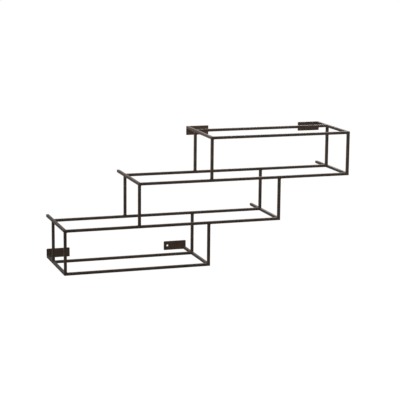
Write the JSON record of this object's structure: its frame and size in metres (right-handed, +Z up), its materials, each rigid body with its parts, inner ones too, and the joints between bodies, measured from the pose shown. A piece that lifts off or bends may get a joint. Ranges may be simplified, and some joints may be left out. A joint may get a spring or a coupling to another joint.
{
  "type": "wine rack",
  "caption": "Wall-hung wine rack of welded square bar: open box tiers that step up to the right, each holding bottles lying side by side, with flat plates screwed to the wall.",
  "frame": {"origin": "midway between the two upper screw holes, on the wall plane where the plates' backs lie", "axes": "+X along the wall to the right as seen from the room, +Y into the wall, +Z up"},
  "size_m": [0.7112, 0.1937, 0.3111],
  "materials": {
    "bar_finish": "satin dark bronze coat on square steel bar, slightly lighter and redder along the edges",
    "plate_finish": "satin dark bronze coat on flat steel plate",
    "weld_finish": "satin dark bronze coat over small weld beads"
  },
  "bodies": {
    "root": {"front_rail_bottom": "bar_finish", "front_rail_lower": "bar_finish", "front_rail_upper": "bar_finish", "front_rail_top": "bar_finish", "rear_rail_bottom": "bar_finish", "rear_rail_lower": "bar_finish", "rear_rail_upper": "bar_finish", "rear_rail_top": "bar_finish", "wall_arm_bottom_left": "bar_finish", "wall_arm_bottom_right": "bar_finish", "wall_arm_lower_left": "bar_finish", "wall_arm_lower_right": "bar_finish", "wall_arm_upper_left": "bar_finish", "wall_arm_upper_right": "bar_finish", "wall_arm_top_left": "bar_finish", "wall_arm_top_right": "bar_finish", "post_low_tier_front_left": "bar_finish", "post_low_tier_rear_left": "bar_finish", "post_low_tier_front_right": "bar_finish", "post_low_tier_rear_right": "bar_finish", "post_middle_tier_front_left": "bar_finish", "post_middle_tier_rear_left": "bar_finish", "post_middle_tier_front_right": "bar_finish", "post_middle_tier_rear_right": "bar_finish", "post_high_tier_front_left": "bar_finish", "post_high_tier_rear_left": "bar_finish", "post_high_tier_front_right": "bar_finish", "post_high_tier_rear_right": "bar_finish", "wall_plate_bottom_left": "plate_finish", "wall_plate_bottom_right": "plate_finish", "wall_plate_top_left": "plate_finish", "wall_plate_top_right": "plate_finish", "weld_beads_bottom_level": "weld_finish", "weld_beads_lower_level": "weld_finish", "weld_beads_upper_level": "weld_finish", "weld_beads_top_level": "weld_finish"}
  },
  "joints": []
}
